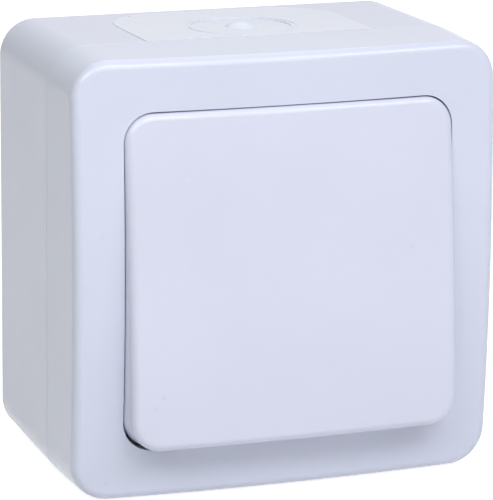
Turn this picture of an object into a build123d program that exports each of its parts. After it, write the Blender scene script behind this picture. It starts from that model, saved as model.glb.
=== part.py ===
from build123d import *
import math
import os

# Everything is drawn lying face up: x to the right, y up the wall, z away
# from the wall. stand() turns it upright, so that the wall is the plane y = 0.

# Rocker key and the play round it
KEY_WIDTH = 55.9
KEY_HEIGHT = 54.5
KEY_CORNER = 4.8
KEY_ROUND = 1.3
KEY_CROWN = 350.0
KEY_SHELL = 2.0
KEY_SKIRT = 1.6
GAP_SIDE = 0.15
GAP_ENDS = 0.6
OPENING_CORNER = 5.0
TILT = 5.4

# Frame round the key, and the draft of the cover and the box
FRAME_SIDE = 8.05
FRAME_ENDS = 8.2
COVER_DRAFT = 0.4
BOX_DRAFT = 0.5
BACK_CORNER = 6.0
PART_CORNER = 6.6
RIM_CORNER = 6.2
DOME_RADIUS = 354.0
FRONT_ROUND = 1.55
BOX_EDGE_ROUND = 0.2
COVER_EDGE_ROUND = 0.1
BACK_ROUND = 0.6
WALL = 2.0
BACK_WALL = 2.2
FACE_WALL = 2.2

# Depths, stacked from the wall to the front
BOX_DEPTH = 29.2
COVER_DEPTH = 14.2
DOME_RISE = 1.8
KEY_PROUD = 3.0
SKIRT_DEPTH = 8.0
PIVOT_DEPTH = 8.2
WELL_DEPTH = 9.9
FLOOR = 1.8

# Tongue of the rear box, and the channel of the cover with its gasket
TONGUE = 0.9
TONGUE_HEIGHT = 1.6
TONGUE_PLAY = 0.05
GASKET_HEIGHT = 1.4
CHANNEL_RIB = 1.1
RIB_CLEAR = 0.8

# Well of the cover, behind the key
COLLAR_WALL = 1.9
BRACE_PLACE = 16.0
APERTURE_GAP = 0.9
APERTURE_CORNER = 1.5
SEAL_WIDTH = 4.0
SEAL_HEIGHT = 1.6
SEAL_CORNER = 2.0
SEAL_PLAY = 0.05
SEAL_RIB = 1.25
SEAL_RIB_HEIGHT = 1.4

# Cable entry on top
PAD_WIDTH = 39.4
PAD_BACK = 2.2
PAD_CORNER = 11.0
PAD_PROUD = 0.1
PAD_ROUND = 0.1
PAD_FLANGE = 0.9
PAD_GRIP = 2.2
PAD_INNER_GRIP = 1.3
PAD_PLAY = 0.03
ENTRY_RING = 8.8
ENTRY_MARGIN = 0.9
ENTRY_BEAD = 0.5
ENTRY_SINK = 0.15
ENTRY_RIM = 1.2
ENTRY_DOME = 2.7
ENTRY_DOME_HEIGHT = 0.9
MEMBRANE = 0.9

# Wall fixing
WALL_HOLE_EDGE = 10.0
WALL_HOLE_RADIUS = 2.2
WALL_SLOT_LENGTH = 8.0
WALL_BOSS_RIM = 2.4
WALL_BOSS_HEIGHT = 1.0

# Screws and the posts that take them
SCREW_RADIUS = 1.5
PILOT_PLAY = 0.05
PILOT_SPARE = 2.0
CLEAR_PLAY = 0.25
HEAD_RADIUS = 3.0
HEAD_HEIGHT = 2.0
HEAD_BEVEL = 0.7
SLOT_WIDTH = 0.8
SLOT_DEPTH = 1.0
COVER_SCREW_LENGTH = 16.0
MECH_SCREW_LENGTH = 11.0
POST_RADIUS = 3.6
POST_DROP = 2.5
RIB = 1.2
RIB_DROP = 4.0

# Terminals
STRIP = 1.0
STRIP_WIDTH = 5.0
STRIP_PLAY = 0.1
STRIP_SHORT = 0.4
LEG_WIDTH = 4.6
WIRE_RADIUS = 1.5
WIRE_PLAY = 0.2
CLAMP_LENGTH = 6.8
CLAMP_WALL = 1.1
CLAMP_BAR = 2.2
CLAMP_PLAY = 0.2
CLAMP_FLOAT = 0.3
CLAMP_TRAVEL = 2.1
HEAD_FREE = 0.6
TERMINAL_HEAD = 2.5

# Tilting contact
BRIDGE_TILT = 8.0
BRIDGE_WIDTH = 5.0
BRIDGE = 1.0
BRIDGE_CORNER = 1.2
BRIDGE_RISE = 0.3
NOSE_RADIUS = 0.5
NOSE_PLAY = 0.05
DISH = 0.25
DISH_HALF = 1.3
DISH_SLOPE = 0.9
RIVET_Y = 9.5
RIVET_HEAD = 2.0
RIVET_SHANK = 1.0
RIVET_DROP = 1.2
RIVET_DOME = 4.0
RIVET_BUTTON = 0.6
BUTTON_HEIGHT = 0.5
CONTACT_HEIGHT = 1.3
CONTACT_PLAY = 0.05

# Base of the mechanism
FOOT_HEIGHT = 2.8
FOOT_RADIUS = 2.4
POCKET_FLOOR = 1.7
POCKET_GAP = 0.7
CHAMBER_GAP = 0.7
CHAMBER_END = 1.5
INNER_WALL = 0.65
OUTER_WALL = 1.4
END_WALL = 4.0
BASE_CORNER = 1.5
LID_SPACE = 0.5
EAR = 2.5
EAR_HEIGHT = 11.0
EAR_CORNER = 3.0
EAR_MARGIN = 4.0
POST_SPACE = 0.6

# Lid, driver and plunger
LID = 2.0
LID_LAP = 0.4
LID_INSET = 0.5
LID_CORNER = 1.0
TOWER_HEIGHT = 16.0
TOWER_WALL = 1.8
TOWER_SPACE = 0.1
CHEEK = 2.3
CHEEK_RADIUS = 2.4
CHEEK_HALF = 4.5
STUB_RADIUS = 1.3
STUB_PLAY = 0.05
STUB_SHORT = 0.2
PEG_RADIUS = 1.1
PEG_LENGTH = 5.0
PEG_SPARE = 0.5
HUB_PLAY = 0.3
HUB_HALF = 3.6
HUB_DROP = 3.0
PLATE_LIFT = 3.0
PLATE = 1.8
PLATE_WIDTH = 26.0
PLATE_HEIGHT = 22.0
PLATE_CORNER = 1.5
PAN = 0.8
PAN_INSET = 2.5
SEAT_WALL = 1.4
SEAT_INSET = 1.0
SNAP_LEG = 1.5
SNAP_WIDTH = 9.0
SNAP_BARB = 0.5
SNAP_HEIGHT = 0.85
SNAP_PLAY = 0.05
KEY_RIB = 1.0
KEY_RIB_SPACE = 0.2
STEM_RADIUS = 3.75
STEM_LIFT = 2.5
BORE_DROP = 3.5
PLUNGER_RADIUS = 2.0
PLUNGER_PLAY = 0.05
PLUNGER_GAP = 0.3
PLUNGER_HOLD = 4.5
SPIGOT_HEIGHT = 2.0
SPIGOT_PLAY = 0.2
SPRING_WIRE = 0.2
SPRING_RADIUS = 1.55
SPRING_TURNS = 5

# How far a cutting shape runs past what it cuts
CUT = 1.0

# Opening and outer faces, worked out from the key
opening_width = KEY_WIDTH + 2 * GAP_SIDE
opening_height = KEY_HEIGHT + 2 * GAP_ENDS
rim_width = opening_width + 2 * FRAME_SIDE
rim_height = opening_height + 2 * FRAME_ENDS
part_width = rim_width + 2 * COVER_DRAFT
part_height = rim_height + 2 * COVER_DRAFT
back_width = part_width - 2 * BOX_DRAFT
back_height = part_height - 2 * BOX_DRAFT
far = 2 * (part_width + part_height)

# Heights above the wall
part_z = BOX_DEPTH
rim_z = part_z + COVER_DEPTH
dome_z = rim_z + DOME_RISE
key_z = dome_z + KEY_PROUD
skirt_z = key_z - SKIRT_DEPTH
pivot_z = key_z - PIVOT_DEPTH
floor_top = dome_z - WELL_DEPTH
floor_z = floor_top - FLOOR
tongue_top = part_z + TONGUE_HEIGHT
channel_top = tongue_top + GASKET_HEIGHT
base_back_z = BACK_WALL + FOOT_HEIGHT
pocket_z = base_back_z + POCKET_FLOOR
clamp_z = pocket_z + CLAMP_FLOAT
wire_z = clamp_z + CLAMP_WALL + WIRE_PLAY + WIRE_RADIUS
strip_z = wire_z + WIRE_RADIUS + WIRE_PLAY
strip_top = strip_z + STRIP
clamp_top = strip_top + CLAMP_TRAVEL + CLAMP_BAR

# Tilting contact: its moving rivets touch the fixed ones at both ends of its tilt
tilt = math.radians(TILT)
bridge_tilt = math.radians(BRIDGE_TILT)
dome_centre = BRIDGE_RISE - RIVET_DROP + RIVET_DOME
contact_top = strip_top + CONTACT_HEIGHT
rock_z = (
    contact_top + CONTACT_PLAY + RIVET_DOME
    + RIVET_Y * math.sin(bridge_tilt) - dome_centre * math.cos(bridge_tilt)
)
contact_y = RIVET_Y * math.cos(bridge_tilt) + dome_centre * math.sin(bridge_tilt)
bridge_length = 2 * (RIVET_Y + RIVET_HEAD)
bridge_z = rock_z + BRIDGE_RISE
bridge_top = bridge_z + BRIDGE
bridge_lift = BRIDGE_RISE + BRIDGE + BUTTON_HEIGHT
base_front_z = (
    rock_z + bridge_length / 2 * math.sin(bridge_tilt) + bridge_lift * math.cos(bridge_tilt) + LID_SPACE
)

# Plan of the mechanism, from the contact outward
chamber_width = BRIDGE_WIDTH + 2 * CHAMBER_GAP
chamber_height = bridge_length + 2 * CHAMBER_END
leg_slot = LEG_WIDTH + 2 * STRIP_PLAY
strip_slot = STRIP_WIDTH + 2 * STRIP_PLAY
leg_x = -(chamber_width / 2 + INNER_WALL + leg_slot / 2)
clamp_height = STRIP_WIDTH + 2 * CLAMP_PLAY + 2 * CLAMP_WALL
pocket_x = CLAMP_LENGTH + 2 * POCKET_GAP
pocket_y = clamp_height + 2 * POCKET_GAP
station_x = leg_slot / 2 - leg_x + INNER_WALL + pocket_x / 2
base_width = 2 * (station_x + pocket_x / 2 + OUTER_WALL)
base_height = chamber_height + 2 * END_WALL
peg_y = (chamber_height + END_WALL) / 2
mech_post_x = base_width / 2 + POST_SPACE + POST_RADIUS
lid_half_x = station_x - pocket_x / 2 + LID_LAP
tower_top_z = floor_z - TOWER_SPACE
cheek_inner = lid_half_x - CHEEK

# Rocker key's driver and its sprung plunger
plate_z = pivot_z + PLATE_LIFT
plate_top = plate_z + PLATE
stem_z = base_front_z + STEM_LIFT
bore_top_z = pivot_z - BORE_DROP
bore_radius = PLUNGER_RADIUS + PLUNGER_PLAY
plunger_back_z = stem_z + PLUNGER_HOLD
ball_space = PLUNGER_GAP + BRIDGE_RISE + BRIDGE + PLUNGER_RADIUS
ball_reach = ((pivot_z - rock_z) * math.cos(bridge_tilt) - ball_space) / math.cos(tilt + bridge_tilt)

# Places that come in pairs. The cover's posts stand at the corners of the well.
cover_post_x = opening_width / 2 - OPENING_CORNER
cover_post_y = opening_height / 2 - OPENING_CORNER
cover_post_z = floor_z - POST_DROP
wall_hole_y = back_height / 2 - WALL_HOLE_EDGE
cover_posts = [(cover_post_x, cover_post_y), (-cover_post_x, -cover_post_y)]
mech_posts = [(mech_post_x, 0.0), (-mech_post_x, 0.0)]
wall_holes = [(0.0, wall_hole_y), (0.0, -wall_hole_y)]
stations = [(station_x, contact_y), (station_x, -contact_y), (-station_x, contact_y)]


def outline(width, height, corner):
    if corner > 0:
        return RectangleRounded(width, height, corner)
    return Rectangle(width, height)


def slab(width, height, z0, z1, corner=0.0, x=0.0, y=0.0):
    return extrude(Pos(x, y, z0) * outline(width, height, corner), z1 - z0)


def span(x0, x1, height, z0, z1, y=0.0):
    """Slab between two places along x."""
    return slab(abs(x1 - x0), height, z0, z1, x=(x0 + x1) / 2, y=y)


def rod(radius, z0, z1, x=0.0, y=0.0):
    return extrude(Pos(x, y, z0) * Circle(radius), z1 - z0)


def oblong(radius, length, z0, z1, x, y):
    """Upright stadium shape, its length up the wall."""
    plan = Pos(x, y, z0) * Rot(0, 0, 90) * SlotCenterToCenter(length - 2 * radius, 2 * radius)
    return extrude(plan, z1 - z0)


def shell_at(z):
    """Width, height and corner radius of the outer faces at a height."""
    if z <= part_z:
        t = z / part_z
        grow = 2 * BOX_DRAFT * t
        return back_width + grow, back_height + grow, BACK_CORNER + (PART_CORNER - BACK_CORNER) * t
    t = (z - part_z) / (rim_z - part_z)
    grow = 2 * COVER_DRAFT * t
    return part_width - grow, part_height - grow, PART_CORNER + (RIM_CORNER - PART_CORNER) * t


def drafted(z0, z1, inset):
    """Block between two heights of the shell, set in from its outer faces."""
    sections = []
    for z in (z0, z1):
        width, height, corner = shell_at(z)
        plan = RectangleRounded(width - 2 * inset, height - 2 * inset, max(corner - inset, BOX_EDGE_ROUND))
        sections.append(Pos(0, 0, z) * plan)
    return loft(sections, ruled=True)


def ball(radius, apex_z):
    """Sphere by its highest point, turned so that its poles lie off the faces that it makes."""
    return Pos(0, 0, apex_z - radius) * Rot(90, 0, 0) * Sphere(radius)


def lowest(shape):
    return shape.faces().sort_by(Axis.Z)[0].edges()


def topmost(shape):
    return shape.faces().sort_by(Axis.Z)[-1].edges()


def on_top_wall(shape):
    """Lays a shape on the top wall: x stays, -y runs along the wall's depth."""
    draft = math.degrees(math.atan2(BOX_DRAFT, part_z))
    return Pos(0, back_height / 2, 0) * Rot(-90 - draft, 0, 0) * shape


def u_block(half_width, back, corner, front, n0, n1):
    """U-shaped plate on the top wall, open to the front of the box."""
    plan = Pos(0, -(back + front) / 2) * Rectangle(2 * half_width, front - back)
    plan = fillet(plan.vertices().sort_by(Axis.Y)[-2:], corner)
    return extrude(Pos(0, 0, n0) * plan, n1 - n0)


def screw(head_z, length, head_radius, x, y, turn):
    """Slotted screw whose head sits on head_z."""
    shank = rod(SCREW_RADIUS, head_z - length, head_z)
    shank = chamfer(lowest(shank), SCREW_RADIUS * 0.4)
    top = head_z + HEAD_HEIGHT
    head = rod(head_radius, head_z, top)
    head = chamfer(topmost(head), HEAD_BEVEL)
    cut = slab(3 * head_radius, SLOT_WIDTH, top - SLOT_DEPTH, top + CUT)
    return Pos(x, y, 0) * (head + shank - Rot(0, 0, turn) * cut)


def stand(shape):
    solids = [Rot(90, 0, 0) * solid for solid in shape.solids()]
    return solids[0] if len(solids) == 1 else Compound(solids)


def tilted(shape, angle, pivot):
    return Pos(0, 0, pivot) * Rot(angle, 0, 0) * Pos(0, 0, -pivot) * shape


def join(shapes):
    total = shapes[0]
    for shape in shapes[1:]:
        total = total + shape
    return total


def group(shapes):
    return Compound([s for shape in shapes for s in shape.solids()])


# Cable entry seal: a flange outside the top wall, a web through it, a grip inside
tongue_inset = WALL - TONGUE
grip_half = PAD_WIDTH / 2 - PAD_GRIP
web_half = grip_half - PAD_PLAY
web_back = PAD_BACK + PAD_GRIP
web_corner = PAD_CORNER - PAD_GRIP
pad_front = part_z + PAD_CORNER
pad_recess = PAD_PROUD - PAD_FLANGE
pad_under = -WALL - PAD_FLANGE
pad_over = PAD_PROUD + ENTRY_DOME_HEIGHT + CUT

slot_cut = on_top_wall(u_block(grip_half, web_back, web_corner, pad_front, pad_under - CUT, pad_over))
recess_cut = on_top_wall(
    u_block(PAD_WIDTH / 2 + PAD_PLAY, PAD_BACK - PAD_PLAY, PAD_CORNER, pad_front, pad_recess, pad_over)
)
tongue_ring = drafted(part_z, tongue_top, tongue_inset) - drafted(part_z, tongue_top, WALL)

flange = u_block(PAD_WIDTH / 2, PAD_BACK, PAD_CORNER, pad_front, pad_recess, PAD_PROUD)
flange = fillet(topmost(flange), PAD_ROUND)
web = u_block(web_half, web_back + PAD_PLAY, web_corner, pad_front, pad_under, pad_recess)
inner_grip = u_block(
    grip_half + PAD_INNER_GRIP, web_back - PAD_INNER_GRIP, web_corner + PAD_INNER_GRIP,
    pad_front, pad_under, -WALL,
)
entry = Pos(0, ENTRY_MARGIN + ENTRY_RING - part_z, 0)
entry_floor = PAD_PROUD - ENTRY_SINK
sink = entry * rod(ENTRY_RING - ENTRY_BEAD, entry_floor, pad_over)
groove = entry * (
    rod(ENTRY_RING + ENTRY_BEAD, PAD_PROUD - ENTRY_SINK / 2, pad_over)
    - rod(ENTRY_RING, pad_recess, pad_over)
)
hollow = entry * rod(ENTRY_RING - ENTRY_RIM, pad_under - CUT, entry_floor - MEMBRANE)
dome_radius = (ENTRY_DOME**2 + ENTRY_DOME_HEIGHT**2) / (2 * ENTRY_DOME_HEIGHT)
dome = entry * (
    ball(dome_radius, entry_floor + ENTRY_DOME_HEIGHT)
    & rod(dome_radius, entry_floor - MEMBRANE / 2, pad_over)
)
pad = on_top_wall(flange + web + inner_grip - sink - groove - hollow + dome)
pad_tongue = tongue_ring & slab(2 * web_half, far, part_z, tongue_top, y=far / 2)
cable_entry_seal = (pad & slab(far, far, -CUT, part_z)) + pad_tongue


# Rear box
shell = drafted(0, part_z, 0)
shell = fillet(lowest(shell), BACK_ROUND)
shell = fillet(topmost(shell), BOX_EDGE_ROUND)
rear_box = shell - drafted(BACK_WALL, part_z, WALL) + tongue_ring
rear_box = rear_box - recess_cut - slot_cut

inner_x = back_width / 2 - WALL / 2
inner_y = back_height / 2 - WALL / 2
ear_back_z = base_front_z - EAR
rib_top = part_z - RIB_DROP
wall_boss_z = BACK_WALL + WALL_BOSS_HEIGHT
fittings = []
for x, y in cover_posts:
    side = math.copysign(1, x)
    fittings.append(rod(POST_RADIUS, BACK_WALL, cover_post_z, x, y))
    fittings.append(span(x, side * inner_x, RIB, BACK_WALL, rib_top, y))
    fittings.append(Rot(0, 0, 90) * span(y, side * inner_y, RIB, BACK_WALL, rib_top, -x))
for x, y in mech_posts:
    fittings.append(rod(POST_RADIUS, BACK_WALL, ear_back_z, x, y))
    fittings.append(span(x, math.copysign(inner_x, x), RIB, BACK_WALL, ear_back_z, y))
for x in (-station_x, station_x):
    for y in (-contact_y, contact_y):
        fittings.append(rod(FOOT_RADIUS, BACK_WALL, base_back_z, x, y))
for x, y in wall_holes:
    radius = WALL_HOLE_RADIUS + WALL_BOSS_RIM
    fittings.append(oblong(radius, WALL_SLOT_LENGTH + 2 * WALL_BOSS_RIM, BACK_WALL, wall_boss_z, x, y))
rear_box = rear_box + join(fittings)
pilot = SCREW_RADIUS + PILOT_PLAY
for x, y in cover_posts:
    bottom = floor_top - COVER_SCREW_LENGTH - PILOT_SPARE
    rear_box = rear_box - rod(pilot, bottom, cover_post_z + CUT, x, y)
for x, y in mech_posts:
    bottom = base_front_z - MECH_SCREW_LENGTH - PILOT_SPARE
    rear_box = rear_box - rod(pilot, bottom, ear_back_z + CUT, x, y)
for x, y in wall_holes:
    rear_box = rear_box - oblong(WALL_HOLE_RADIUS, WALL_SLOT_LENGTH, -CUT, wall_boss_z + CUT, x, y)


# Front cover: a domed frame, a collar round the key and the well's floor
face_core = ball(DOME_RADIUS, dome_z - FACE_WALL)
body = drafted(part_z, dome_z + CUT, 0) & ball(DOME_RADIUS, dome_z)
body = fillet(topmost(body), FRONT_ROUND)
body = fillet(lowest(body), COVER_EDGE_ROUND)
channel = drafted(part_z, channel_top, tongue_inset - TONGUE_PLAY) - drafted(
    part_z, channel_top, WALL + TONGUE_PLAY
)
channel_rib_top = channel_top + CHANNEL_RIB
hollow = (drafted(channel_top, dome_z, WALL) & face_core) - slab(
    far, far, channel_top - CUT, channel_rib_top
)
hollow = hollow + drafted(part_z, channel_rib_top, WALL + TONGUE_PLAY + CHANNEL_RIB)
rib_relief = drafted(part_z, part_z + RIB_CLEAR, WALL + TONGUE_PLAY)
collar_width = opening_width + 2 * COLLAR_WALL
collar_height = opening_height + 2 * COLLAR_WALL
collar = slab(collar_width, collar_height, floor_z, dome_z, OPENING_CORNER + COLLAR_WALL)
front_cover = body - (hollow - collar) - channel - rib_relief
brace_top = rim_z - FRONT_ROUND
brace_x = ((opening_width + COLLAR_WALL) / 2, (rim_width - WALL) / 2)
brace_y = ((opening_height + COLLAR_WALL) / 2, (rim_height - WALL) / 2)
braces = []
for turn in (0, 180):
    for along in (-BRACE_PLACE, BRACE_PLACE):
        braces.append(Rot(0, 0, turn) * span(*brace_x, RIB, floor_top, brace_top, along))
        braces.append(Rot(0, 0, turn + 90) * span(*brace_y, RIB, floor_top, brace_top, along))
front_cover = front_cover + (join(braces) & face_core)
front_cover = front_cover - slab(opening_width, opening_height, floor_top, key_z + CUT, OPENING_CORNER)

seal_width = 2 * (lid_half_x + SEAL_WIDTH)
seal_height = TOWER_HEIGHT + 2 * SEAL_WIDTH
rib_in = 2 * SEAL_PLAY
rib_out = rib_in + 2 * SEAL_RIB
rib_z = floor_z - SEAL_RIB_HEIGHT
seal_rib = slab(seal_width + rib_out, seal_height + rib_out, rib_z, floor_z, SEAL_CORNER + SEAL_RIB)
seal_rib = seal_rib - slab(seal_width + rib_in, seal_height + rib_in, rib_z, floor_z, SEAL_CORNER)
front_cover = front_cover + seal_rib
for x, y in cover_posts:
    front_cover = front_cover + rod(POST_RADIUS, cover_post_z, floor_z, x, y)
for x, y in cover_posts:
    front_cover = front_cover - rod(SCREW_RADIUS + CLEAR_PLAY, cover_post_z - CUT, floor_top + CUT, x, y)
aperture_width = 2 * (lid_half_x + APERTURE_GAP)
aperture_height = TOWER_HEIGHT + 2 * APERTURE_GAP
front_cover = front_cover - slab(
    aperture_width, aperture_height, floor_z - CUT, floor_top + CUT, APERTURE_CORNER
)

cover_gasket = drafted(tongue_top, channel_top, tongue_inset) - drafted(tongue_top, channel_top, WALL)
cover_screws = group(
    screw(floor_top, COVER_SCREW_LENGTH, HEAD_RADIUS, x, y, 20 + 50 * i)
    for i, (x, y) in enumerate(cover_posts)
)
mechanism_seal = slab(seal_width, seal_height, floor_z - SEAL_HEIGHT, floor_z, SEAL_CORNER) - slab(
    2 * lid_half_x, TOWER_HEIGHT, floor_z - SEAL_HEIGHT, floor_z
)


# Rocker key: a crowned shell with ribs, a seat for the driver's plate and two snap legs
key_core = ball(KEY_CROWN, key_z - KEY_SHELL)
key = slab(KEY_WIDTH, KEY_HEIGHT, skirt_z, key_z + CUT, KEY_CORNER) & ball(KEY_CROWN, key_z)
key = fillet(topmost(key), KEY_ROUND)
hollow = slab(KEY_WIDTH - 2 * KEY_SKIRT, KEY_HEIGHT - 2 * KEY_SKIRT, skirt_z - CUT, key_z,
              KEY_CORNER - KEY_SKIRT)
key = key - (hollow & key_core)
seat_width = PLATE_WIDTH - 2 * SEAT_INSET
seat_height = PLATE_HEIGHT - 2 * SEAT_INSET
seat = slab(seat_width, seat_height, plate_top, key_z)
under = [seat - slab(seat_width - 2 * SEAT_WALL, seat_height - 2 * SEAT_WALL, plate_top, key_z)]
leg_inner = PLATE_HEIGHT / 2 + SNAP_PLAY
barb_top = plate_z - SNAP_PLAY
barb_z = barb_top - SNAP_HEIGHT
rib_z = plate_top - KEY_RIB
skirt_x = (KEY_WIDTH - KEY_SKIRT) / 2
skirt_y = (KEY_HEIGHT - KEY_SKIRT) / 2
rib_x = PLATE_WIDTH / 2 + KEY_RIB_SPACE
rib_y = PLATE_HEIGHT / 2 + KEY_RIB_SPACE
for side in (-1, 1):
    under.append(slab(SNAP_WIDTH, SNAP_LEG, barb_z, key_z, y=side * (leg_inner + SNAP_LEG / 2)))
    under.append(slab(SNAP_WIDTH, SNAP_BARB, barb_z, barb_top, y=side * (leg_inner - SNAP_BARB / 2)))
    for along in (-SNAP_WIDTH, SNAP_WIDTH):
        under.append(span(side * rib_x, side * skirt_x, KEY_RIB, rib_z, key_z, along))
        under.append(Rot(0, 0, 90) * span(side * rib_y, side * skirt_y, KEY_RIB, rib_z, key_z, along))
rocker_key = tilted(key + (join(under) & key_core), -TILT, pivot_z)


# Driver, with stubs in the lid's cheeks and a stem that holds the plunger
driver = slab(PLATE_WIDTH, PLATE_HEIGHT, plate_z, plate_top, PLATE_CORNER)
pan_width = PLATE_WIDTH - 2 * PAN_INSET
pan_height = PLATE_HEIGHT - 2 * PAN_INSET
driver = driver + slab(pan_width, pan_height, plate_top, plate_top + PAN)
driver = driver + slab(2 * (cheek_inner - HUB_PLAY), 2 * HUB_HALF, pivot_z - HUB_DROP, plate_z)
stubs = Rot(0, 90, 0) * Cylinder(STUB_RADIUS, 2 * (lid_half_x - STUB_SHORT))
driver = driver + Pos(0, 0, pivot_z) * stubs
driver = driver + rod(STEM_RADIUS, stem_z, pivot_z)
driver = driver - rod(bore_radius, stem_z - CUT, bore_top_z)
driver = tilted(driver, -TILT, pivot_z)

ball_z = pivot_z - ball_reach
plunger = rod(PLUNGER_RADIUS, ball_z, plunger_back_z) + Pos(0, 0, ball_z) * Sphere(PLUNGER_RADIUS)
spigot_radius = SPRING_RADIUS - SPRING_WIRE - SPIGOT_PLAY
plunger = plunger + rod(spigot_radius, plunger_back_z, plunger_back_z + SPIGOT_HEIGHT)
plunger = tilted(plunger, -TILT, pivot_z)

coil_low = plunger_back_z + SPRING_WIRE
coil_rise = bore_top_z - SPRING_WIRE - coil_low
coil = Helix(coil_rise / SPRING_TURNS, coil_rise, SPRING_RADIUS)
wire = Plane(origin=coil @ 0, z_dir=coil % 0) * Circle(SPRING_WIRE)
plunger_spring = tilted(Pos(0, 0, coil_low) * sweep(wire, path=coil), -TILT, pivot_z)


# Lid of the mechanism: plate, tower and two cheeks that hold the driver
lid_height = base_height - 2 * LID_INSET
lid = slab(2 * lid_half_x, lid_height, base_front_z, base_front_z + LID, LID_CORNER)
lid = lid + slab(2 * lid_half_x, TOWER_HEIGHT, base_front_z, tower_top_z)
tower_room = TOWER_HEIGHT - 2 * TOWER_WALL
lid = lid - slab(2 * cheek_inner, tower_room, base_front_z - CUT, tower_top_z + CUT)
foot = Pos(0, tower_top_z - CUT / 2) * Rectangle(2 * CHEEK_HALF, CUT)
cheek = make_hull((foot + Pos(0, pivot_z) * Circle(CHEEK_RADIUS)).edges())
for x in (cheek_inner, -lid_half_x):
    lid = lid + extrude(Plane.YZ.offset(x) * cheek, CHEEK)
bearing = Rot(0, 90, 0) * Cylinder(STUB_RADIUS + STUB_PLAY, 2 * (lid_half_x + CUT))
lid = lid - Pos(0, 0, pivot_z) * bearing
for y in (peg_y, -peg_y):
    lid = lid + rod(PEG_RADIUS, base_front_z - PEG_LENGTH, base_front_z, 0, y)
mechanism_lid = lid


# Base of the mechanism: a chamber for the tilting contact, and three terminal pockets
clear_top = base_front_z + CUT
base = slab(base_width, base_height, base_back_z, base_front_z, BASE_CORNER)
ear_width = 2 * (mech_post_x + EAR_MARGIN)
base = base + slab(ear_width, EAR_HEIGHT, ear_back_z, base_front_z, EAR_CORNER)
base = base - slab(chamber_width, chamber_height, strip_z, clear_top)
for x, y in stations:
    base = base - slab(pocket_x, pocket_y, pocket_z, clear_top, x=x, y=y)
    base = base - span(0, x, strip_slot, strip_z, clear_top, y)
    wire_way = Rot(0, math.copysign(90, x), 0) * rod(WIRE_RADIUS, 0, base_width / 2 - station_x + CUT)
    base = base - Pos(x, y, wire_z) * wire_way
base = base - slab(leg_slot, contact_y + strip_slot, strip_z, clear_top, x=leg_x, y=contact_y / 2)
base = base - span(0, leg_x, strip_slot, strip_z, clear_top)
for x, y in mech_posts:
    base = base - rod(SCREW_RADIUS + CLEAR_PLAY, ear_back_z - CUT, clear_top, x, y)
tail_z = strip_z - RIVET_BUTTON
for side in (-1, 1):
    peg_bottom = base_front_z - PEG_LENGTH - PEG_SPARE
    base = base - rod(PEG_RADIUS, peg_bottom, clear_top, 0, side * peg_y)
    base = base - rod(RIVET_SHANK + 2 * RIVET_BUTTON, tail_z - CLAMP_FLOAT, clear_top, 0, side * contact_y)
mechanism_base = base

mechanism_screws = group(
    screw(base_front_z, MECH_SCREW_LENGTH, HEAD_RADIUS, x, y, 35 + 70 * i)
    for i, (x, y) in enumerate(mech_posts)
)


# Terminals
strip_end = station_x + CLAMP_LENGTH / 2 - STRIP_SHORT
inner_end = chamber_width / 2 - STRIP_SHORT


def fixed_strip(y):
    strip = span(-inner_end, strip_end, STRIP_WIDTH, strip_z, strip_top, y)
    return strip - rod(RIVET_SHANK, strip_z - CUT, strip_top + CUT, 0, y)


upper_terminal = fixed_strip(contact_y)
lower_terminal = fixed_strip(-contact_y)

leg = slab(LEG_WIDTH, contact_y + STRIP_WIDTH, strip_z, strip_top, x=leg_x, y=contact_y / 2)
lead = span(-strip_end, leg_x + LEG_WIDTH / 2, STRIP_WIDTH, strip_z, strip_top, contact_y)
cross = span(leg_x, inner_end, STRIP_WIDTH, strip_z, strip_top)
blade_half = (BRIDGE_WIDTH - STRIP_SHORT) / 2
blade = slab(2 * blade_half, 2 * NOSE_RADIUS, strip_top - STRIP / 2, rock_z)
nose = Pos(0, 0, rock_z) * Rot(0, 90, 0) * Cylinder(NOSE_RADIUS, 2 * blade_half)
common_terminal = leg + lead + cross + blade + nose


def fixed_contact(y):
    head = rod(RIVET_HEAD, strip_top, contact_top, 0, y)
    shank = rod(RIVET_SHANK, strip_z - BUTTON_HEIGHT, strip_top, 0, y)
    return head + shank + rod(RIVET_SHANK + RIVET_BUTTON, tail_z, strip_z, 0, y)


fixed_contacts = group([fixed_contact(contact_y), fixed_contact(-contact_y)])


def clamp(x, y):
    body = slab(CLAMP_LENGTH, clamp_height, clamp_z, clamp_top, x=x, y=y)
    bar_z = clamp_top - CLAMP_BAR
    inside = clamp_height - 2 * CLAMP_WALL
    body = body - slab(CLAMP_LENGTH + CUT, inside, clamp_z + CLAMP_WALL, bar_z, x=x, y=y)
    return body - rod(pilot, bar_z - CUT, clamp_top + CUT, x, y)


terminal_clamps = group(clamp(x, y) for x, y in stations)
shank_length = CLAMP_TRAVEL + CLAMP_BAR + HEAD_FREE
terminal_screws = group(
    screw(strip_top + shank_length, shank_length, TERMINAL_HEAD, x, y, 15 + 40 * i)
    for i, (x, y) in enumerate(stations)
)


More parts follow.
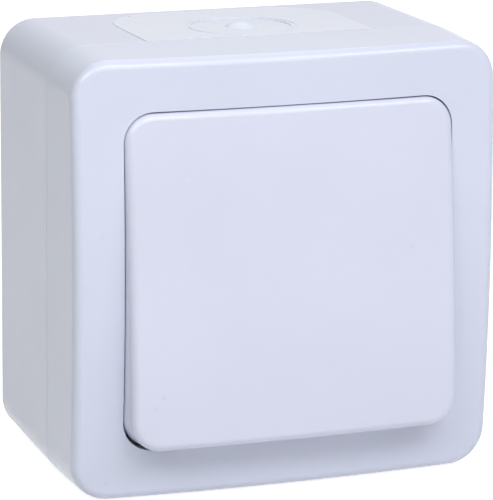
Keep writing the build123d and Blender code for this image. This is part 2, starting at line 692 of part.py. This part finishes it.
# Tilting contact bridge, with a round groove under it that rocks on the blade's nose
across = Rot(0, 90, 0)
bridge = slab(BRIDGE_WIDTH, bridge_length, bridge_z, bridge_top, BRIDGE_CORNER)
bridge = bridge - Pos(0, 0, rock_z) * across * Cylinder(NOSE_RADIUS + NOSE_PLAY, BRIDGE_WIDTH + CUT)
dish_top = DISH_HALF + DISH_SLOPE
dish_plan = Polyline(
    (-dish_top, bridge_top + DISH / 2), (-DISH_HALF, bridge_top - DISH),
    (DISH_HALF, bridge_top - DISH), (dish_top, bridge_top + DISH / 2), close=True,
)
dish = extrude(Plane.YZ.offset(-BRIDGE_WIDTH) * make_face(dish_plan), 2 * BRIDGE_WIDTH)
bridge = bridge - dish
moving = []
for y in (RIVET_Y, -RIVET_Y):
    bridge = bridge - rod(RIVET_SHANK, bridge_z - CUT, bridge_top + CUT, 0, y)
    dome = Pos(0, y, rock_z + dome_centre) * Sphere(RIVET_DOME)
    cap = rod(RIVET_HEAD, bridge_z - RIVET_DROP, bridge_z, 0, y) & dome
    shank = rod(RIVET_SHANK, bridge_z, bridge_top, 0, y)
    button = rod(RIVET_SHANK + RIVET_BUTTON, bridge_top, bridge_top + BUTTON_HEIGHT, 0, y)
    moving.append(tilted(cap + shank + button, BRIDGE_TILT, rock_z))
contact_bridge = tilted(bridge, BRIDGE_TILT, rock_z)
moving_contacts = group(moving)


nodes = {
    "rear_box": rear_box,
    "cable_entry_seal": cable_entry_seal,
    "cover_gasket": cover_gasket,
    "front_cover": front_cover,
    "cover_screws": cover_screws,
    "rocker_key": rocker_key,
    "mechanism_seal": mechanism_seal,
    "mechanism_lid": mechanism_lid,
    "mechanism_base": mechanism_base,
    "mechanism_screws": mechanism_screws,
    "driver": driver,
    "plunger": plunger,
    "plunger_spring": plunger_spring,
    "contact_bridge": contact_bridge,
    "moving_contacts": moving_contacts,
    "common_terminal": common_terminal,
    "upper_terminal": upper_terminal,
    "lower_terminal": lower_terminal,
    "fixed_contacts": fixed_contacts,
    "terminal_clamps": terminal_clamps,
    "terminal_screws": terminal_screws,
}

os.makedirs("parts", exist_ok=True)
for name, shape in nodes.items():
    upright = stand(shape)
    export_step(upright, f"parts/{name}.step")
    corners = [round(value, 2) for value in (*upright.bounding_box().min, *upright.bounding_box().max)]
    print(name, len(upright.solids()), corners, round(upright.volume, 1))
print("rocking axis", round(rock_z, 4), "reach", round(ball_reach, 4), "contacts at", round(contact_y, 3))
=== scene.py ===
import math
import bpy
from mathutils import Matrix, Vector


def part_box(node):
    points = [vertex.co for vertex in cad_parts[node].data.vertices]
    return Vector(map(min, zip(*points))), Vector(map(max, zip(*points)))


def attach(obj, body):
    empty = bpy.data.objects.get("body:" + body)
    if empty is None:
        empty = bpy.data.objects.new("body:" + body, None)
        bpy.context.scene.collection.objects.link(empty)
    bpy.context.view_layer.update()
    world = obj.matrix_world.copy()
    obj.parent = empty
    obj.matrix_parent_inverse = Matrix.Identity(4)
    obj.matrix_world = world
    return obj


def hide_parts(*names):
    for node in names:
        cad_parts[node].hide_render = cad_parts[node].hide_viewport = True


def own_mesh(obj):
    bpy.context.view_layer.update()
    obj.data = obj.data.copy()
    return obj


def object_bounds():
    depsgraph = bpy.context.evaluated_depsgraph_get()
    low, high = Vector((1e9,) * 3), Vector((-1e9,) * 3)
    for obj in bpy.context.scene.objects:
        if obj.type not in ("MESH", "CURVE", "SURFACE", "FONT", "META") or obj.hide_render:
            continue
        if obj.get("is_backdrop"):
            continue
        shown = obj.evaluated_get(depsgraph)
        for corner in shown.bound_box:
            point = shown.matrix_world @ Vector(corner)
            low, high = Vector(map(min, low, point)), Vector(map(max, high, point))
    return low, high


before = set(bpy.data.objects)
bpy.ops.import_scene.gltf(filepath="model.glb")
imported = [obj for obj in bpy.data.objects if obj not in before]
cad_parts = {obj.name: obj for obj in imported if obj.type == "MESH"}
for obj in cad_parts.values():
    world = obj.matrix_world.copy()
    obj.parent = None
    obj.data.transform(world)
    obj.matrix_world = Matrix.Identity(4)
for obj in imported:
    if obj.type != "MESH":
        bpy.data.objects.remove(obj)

low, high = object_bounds()
scene = bpy.context.scene


def linear(red, green, blue):
    """Linear colour with full alpha, from 8-bit sRGB values."""
    channels = []
    for value in (red, green, blue):
        c = value / 255
        channels.append(c / 12.92 if c <= 0.04045 else ((c + 0.055) / 1.055) ** 2.4)
    return (*channels, 1.0)


def tint(colour, factor):
    """The colour made darker or lighter by a factor."""
    return tuple(min(1.0, c * factor) for c in colour[:3]) + (1.0,)


class Nodes:
    """The node tree of a material or a world, with a method for each step that repeats."""

    NOISE_LOW, NOISE_HIGH = 0.3, 0.7

    def __init__(self, owner):
        owner.use_nodes = True
        self.tree = owner.node_tree
        self.tree.nodes.clear()

    def add(self, kind, inputs=None, **settings):
        """A new node, with a constant or another node's output on each input that is named."""
        node = self.tree.nodes.new(kind)
        for key, value in settings.items():
            setattr(node, key, value)
        for name, value in (inputs or {}).items():
            if isinstance(value, bpy.types.NodeSocket):
                self.tree.links.new(value, node.inputs[name])
            else:
                node.inputs[name].default_value = value
        return node

    def place(self):
        """A surface point's own place in metres, in the shared frame."""
        return self.add("ShaderNodeTexCoord").outputs["Object"]

    def noise(self, scale, detail, stretch=None):
        """Noise about 0.5, with about scale waves a metre, times the stretch on each axis."""
        place = self.place()
        if stretch:
            place = self.add("ShaderNodeMapping", {"Vector": place, "Scale": stretch}).outputs["Vector"]
        inputs = {"Vector": place, "Scale": scale, "Detail": detail}
        return self.add("ShaderNodeTexNoise", inputs).outputs["Fac"]

    def ramp(self, value, start, end, first=0.0, last=1.0, kind="LINEAR"):
        """Carries a value from start..end to first..last, and holds it at both ends."""
        inputs = {"Value": value, "From Min": start, "From Max": end, "To Min": first, "To Max": last}
        return self.add("ShaderNodeMapRange", inputs, interpolation_type=kind).outputs["Result"]

    def spread(self, noise, first=0.0, last=1.0):
        """Carries noise to the whole of first..last."""
        return self.ramp(noise, self.NOISE_LOW, self.NOISE_HIGH, first, last)

    def blend(self, factor, a, b):
        """Colour a where the factor is 0, and b where it is 1."""
        inputs = {"Factor": factor, "A": a, "B": b}
        return self.add("ShaderNodeMix", inputs, data_type="RGBA").outputs["Result"]

    def clouded(self, colour, scale, darkest, lightest=1.0):
        """The colour with soft clouds, darker and lighter by those factors."""
        clouds = self.spread(self.noise(scale, detail=4.0))
        return self.blend(clouds, tint(colour, darkest), tint(colour, lightest))

    def bump(self, height, distance, strength):
        """The normal of a surface raised by a height from 0 to 1, where 1 is the distance."""
        inputs = {"Height": height, "Distance": distance, "Strength": strength}
        return self.add("ShaderNodeBump", inputs).outputs["Normal"]

    def seen_or_mirrored(self):
        """1 for rays from the camera, also by way of a mirror or glass, and 0 for others."""
        path = self.add("ShaderNodeLightPath")
        total = path.outputs["Is Camera Ray"]
        for name in ("Is Glossy Ray", "Is Transmission Ray"):
            inputs = {0: total, 1: path.outputs[name]}
            total = self.add("ShaderNodeMath", inputs, operation="MAXIMUM").outputs["Value"]
        return total

    def surface(self, **inputs):
        """The shader and the output of a material. An underscore stands for a space."""
        named = {key.replace("_", " "): value for key, value in inputs.items()}
        shader = self.add("ShaderNodeBsdfPrincipled", named)
        self.add("ShaderNodeOutputMaterial", {"Surface": shader.outputs["BSDF"]})


def plastic(name, colour, rough, grain_depth=0.000002, marks=(), rim_highlight=None):
    """Moulded plastic: faint clouds of colour, slightly uneven gloss and a very fine grain.

    Each mark has a place, a radius that it fades out to from half of it, and a colour. The rim is a
    painted highlight: a paler line at the piece's back edge, with a place on Y, a width and a colour.
    """
    material = bpy.data.materials.new(name)
    n = Nodes(material)
    shade = n.clouded(colour, scale=45.0, darkest=0.985, lightest=1.01)
    for place, radius, tone in marks:
        gap = n.add("ShaderNodeVectorMath", {0: n.place(), 1: place}, operation="DISTANCE")
        mask = n.ramp(gap.outputs["Value"], radius * 0.5, radius, 1.0, 0.0, kind="SMOOTHSTEP")
        shade = n.blend(mask, shade, tone)
    # Painted highlight: a paler line along the back edge, as if that edge caught the light
    if rim_highlight:
        edge, width, tone = rim_highlight
        depth = n.add("ShaderNodeSeparateXYZ", {"Vector": n.place()}).outputs["Y"]
        shade = n.blend(n.ramp(depth, edge - width, edge, kind="SMOOTHSTEP"), shade, tone)
    uneven = 0.03
    n.surface(
        Base_Color=shade,
        Roughness=n.spread(n.noise(scale=120.0, detail=5.0), rough - uneven, rough + uneven),
        IOR=1.5,
        Normal=n.bump(n.noise(scale=9000.0, detail=2.0), distance=grain_depth, strength=0.6),
    )
    return material


def rubber(name, colour, rough):
    """Soft rubber: cloudier and coarser than the plastic."""
    material = bpy.data.materials.new(name)
    n = Nodes(material)
    uneven = 0.05
    n.surface(
        Base_Color=n.clouded(colour, scale=60.0, darkest=0.97, lightest=1.02),
        Roughness=n.spread(n.noise(scale=200.0, detail=4.0), rough - uneven, rough + uneven),
        Normal=n.bump(n.noise(scale=4000.0, detail=4.0), distance=0.000006, strength=0.5),
    )
    return material


# Waves a metre on each axis, in drawn and in pressed metal
DRAWN = (40.0, 3000.0, 3000.0)
PRESSED = (900.0, 900.0, 900.0)


def metal(name, colour, rough, stretch=DRAWN):
    """Metal with darker patches, and with lines along X from drawing or even speckle from pressing."""
    material = bpy.data.materials.new(name)
    n = Nodes(material)
    lines = n.noise(scale=1.0, detail=3.0, stretch=stretch)
    smoother, rougher = 0.08, 0.1
    n.surface(
        Base_Color=n.clouded(colour, scale=300.0, darkest=0.85),
        Metallic=1.0,
        Roughness=n.spread(lines, rough - smoother, rough + rougher),
        Normal=n.bump(lines, distance=0.000004, strength=0.4),
    )
    return material


def wear(material, *nodes):
    """Gives those nodes the material."""
    for node in nodes:
        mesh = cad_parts[node].data
        mesh.materials.clear()
        mesh.materials.append(material)


# Small marks that the photograph shows, each with its place, its radius and its colour
DARK = linear(120, 116, 122)
GREY = linear(196, 199, 210)
FAINT = linear(219, 222, 237)
PALE = linear(227, 229, 243)
seal_marks = [
    ((-0.0147, -0.0048, 0.0361), 0.00026, DARK),
    ((-0.0169, -0.0114, 0.0362), 0.00022, GREY),
    ((-0.0141, -0.0047, 0.0361), 0.00022, GREY),
]
key_marks = [
    ((-0.0230, -0.0487, -0.0175), 0.0006, FAINT),
    ((-0.0243, -0.0486, -0.0193), 0.0005, FAINT),
    ((0.0198, -0.0473, 0.0039), 0.0006, FAINT),
    ((-0.0183, -0.0457, 0.0172), 0.0005, PALE),
]
cover_marks = [
    ((-0.0317, -0.0437, 0.0083), 0.0005, FAINT),
    ((-0.0308, -0.0423, -0.0331), 0.0004, FAINT),
]

# Painted highlight: a pale line along the cover's back edge, where it meets the box
RIM_HIGHLIGHT_WIDTH = 0.00028
cover_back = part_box("front_cover")[1].y
cover_rim_highlight = (cover_back, RIM_HIGHLIGHT_WIDTH, linear(238, 240, 250))

# Depth of the grain on the soft seal and on the inner mouldings
SEAL_GRAIN = 0.0000008
INNER_GRAIN = 0.000004

# The box's own plastic colour, a little darker than the cover's as painted shade for the dimmer light on the
# box's top
box_plastic_shaded = plastic("box_plastic_shaded", linear(217, 221, 237), rough=0.24)
shell_plastic = plastic("shell_plastic", linear(222, 226, 241), rough=0.19, marks=cover_marks, rim_highlight=cover_rim_highlight)
key_plastic = plastic("key_plastic", linear(224, 226, 241), rough=0.17, marks=key_marks)
entry_seal = plastic("entry_seal", linear(229, 233, 244), 0.24, SEAL_GRAIN, marks=seal_marks)
gasket_rubber = rubber("gasket_rubber", linear(150, 152, 156), rough=0.7)
inner_plastic = plastic("mechanism_plastic", linear(214, 216, 218), 0.45, INNER_GRAIN)
driver_plastic = plastic("driver_plastic", linear(196, 199, 204), 0.4, INNER_GRAIN)
steel = metal("plated_steel", linear(196, 196, 190), rough=0.32)
wire = metal("spring_wire", linear(170, 172, 176), rough=0.28)
brass = metal("terminal_brass", linear(205, 168, 96), rough=0.3)
silver = metal("contact_silver", linear(214, 214, 210), rough=0.25, stretch=PRESSED)

wear(box_plastic_shaded, "rear_box")
wear(shell_plastic, "front_cover")
wear(key_plastic, "rocker_key")
wear(entry_seal, "cable_entry_seal")
wear(gasket_rubber, "cover_gasket", "mechanism_seal")
wear(inner_plastic, "mechanism_lid", "mechanism_base")
wear(driver_plastic, "driver")
wear(steel, "cover_screws", "mechanism_screws", "terminal_screws", "terminal_clamps")
wear(wire, "plunger_spring")
wear(brass, "plunger", "contact_bridge", "common_terminal", "upper_terminal", "lower_terminal")
wear(silver, "moving_contacts", "fixed_contacts")

# Copy of the spring, carried by the rocker in place of the original; the real spring shortens as the plunger
# moves in
spring = bpy.data.objects.new("plunger_coil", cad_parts["plunger_spring"].data.copy())
scene.collection.objects.link(spring)
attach(spring, "rocker")
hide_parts("plunger_spring")
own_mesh(spring)


# Point inside the object that every lamp is turned to
LAMP_AIM = Vector((0, -0.03, 0))


def pale_floor(drop=0.0001, span=6.0, grey=0.76, near=0.12, far=0.5, near_glow=0.84):
    """A floor just under the object. It keeps the shadow, and from near to far it fades to white."""
    bpy.ops.mesh.primitive_plane_add(size=span, location=(0, 0, low.z - drop))
    floor = bpy.context.object
    floor.name = "studio_floor"
    material = bpy.data.materials.new("floor_pale")
    n = Nodes(material)
    apart = n.add("ShaderNodeVectorMath", {0: n.place()}, operation="LENGTH")
    glow = n.ramp(apart.outputs["Value"], near, far, near_glow, 1.0)
    shown = n.add("ShaderNodeMath", {0: n.seen_or_mirrored(), 1: glow}, operation="MULTIPLY")
    n.surface(
        Base_Color=(grey, grey, grey, 1.0),
        Roughness=0.8,
        Specular_IOR_Level=0.0,
        Emission_Color=(1.0, 1.0, 1.0, 1.0),
        Emission_Strength=shown.outputs["Value"],
    )
    floor.data.materials.append(material)
    floor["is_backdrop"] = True


def lamp(name, watts, size, place, colour):
    """A soft rectangular lamp, turned to the object."""
    data = bpy.data.lights.new(name, "AREA")
    data.energy = watts
    data.shape = "RECTANGLE"
    data.size, data.size_y = size
    data.color = colour
    holder = bpy.data.objects.new(name, data)
    scene.collection.objects.link(holder)
    holder.location = place
    holder.rotation_mode = "QUATERNION"
    holder.rotation_quaternion = (LAMP_AIM - Vector(place)).to_track_quat("-Z", "Y")


def white_world(light=0.05, backdrop=1.0):
    """A world that lights the object a little, and that the camera and mirrors see as white."""
    world = bpy.data.worlds.new("studio_world")
    scene.world = world
    n = Nodes(world)
    white = (1, 1, 1, 1)
    lit = n.add("ShaderNodeBackground", {"Color": white, "Strength": light}).outputs[0]
    seen = n.add("ShaderNodeBackground", {"Color": white, "Strength": backdrop}).outputs[0]
    mix = n.add("ShaderNodeMixShader", {"Fac": n.seen_or_mirrored(), 1: lit, 2: seen})
    n.add("ShaderNodeOutputWorld", {"Surface": mix.outputs[0]})


# Studio, with each lamp's name, watts, size, place and colour
SOFTBOX = (0.3, 0.25)
COOL = (0.905, 0.92, 1.0)
pale_floor()
lamp("low_light", 0.40, (0.3, 0.2), (0.10, -0.62, 0.28), (0.98, 0.94, 0.9))
lamp("front_light", 1.40, SOFTBOX, (0.0, -0.50, 0.48), COOL)
lamp("right_light", 0.97, SOFTBOX, (0.30, -0.42, 0.45), COOL)
lamp("left_light", 1.26, SOFTBOX, (-0.35, -0.40, 0.45), (0.95, 1.0, 0.97))
lamp("top_light", 0.95, (0.6, 0.6), (0.0, -0.10, 0.72), (0.895, 0.90, 1.0))
lamp("back_light", 0.82, (0.5, 0.4), (0.10, 0.48, 0.62), (0.93, 0.94, 1.0))
white_world()
scene.view_settings.view_transform = "Standard"

# Camera, from a fit of the box's edges to the photograph. Its axis meets the picture at CENTRE_PX
YAW, PITCH, ROLL = (math.radians(angle) for angle in (20.084, 13.952, 0.605))
CAMERA_AIM = Vector((0, -0.022, 0))
DISTANCE = 0.554604
FOCAL_PX = 3308.476
CENTRE_PX = (243.862, 242.101)
WIDTH, HEIGHT = 493, 500
SENSOR_MM = 36.0


def photo_camera(nearest=0.01, farthest=20.0):
    """The scene's camera, at the place and angle that the photograph was taken from."""
    back = Vector((-math.sin(YAW) * math.cos(PITCH), -math.cos(YAW) * math.cos(PITCH), math.sin(PITCH)))
    right = (-back).cross(Vector((0, 0, 1))).normalized()
    up = right.cross(-back)
    x_axis = math.cos(ROLL) * right + math.sin(ROLL) * up
    y_axis = math.cos(ROLL) * up - math.sin(ROLL) * right
    turn = Matrix((x_axis, y_axis, back)).transposed()
    camera = bpy.data.objects.new("camera", bpy.data.cameras.new("camera"))
    scene.collection.objects.link(camera)
    camera.matrix_world = Matrix.Translation(CAMERA_AIM + back * DISTANCE) @ turn.to_4x4()
    camera.data.sensor_width = SENSOR_MM
    camera.data.lens = FOCAL_PX * SENSOR_MM / HEIGHT
    camera.data.shift_x = (WIDTH / 2 - CENTRE_PX[0]) / HEIGHT
    camera.data.shift_y = (CENTRE_PX[1] - HEIGHT / 2) / HEIGHT
    camera.data.clip_start = nearest
    camera.data.clip_end = farthest
    scene.camera = camera


photo_camera()

low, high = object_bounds()
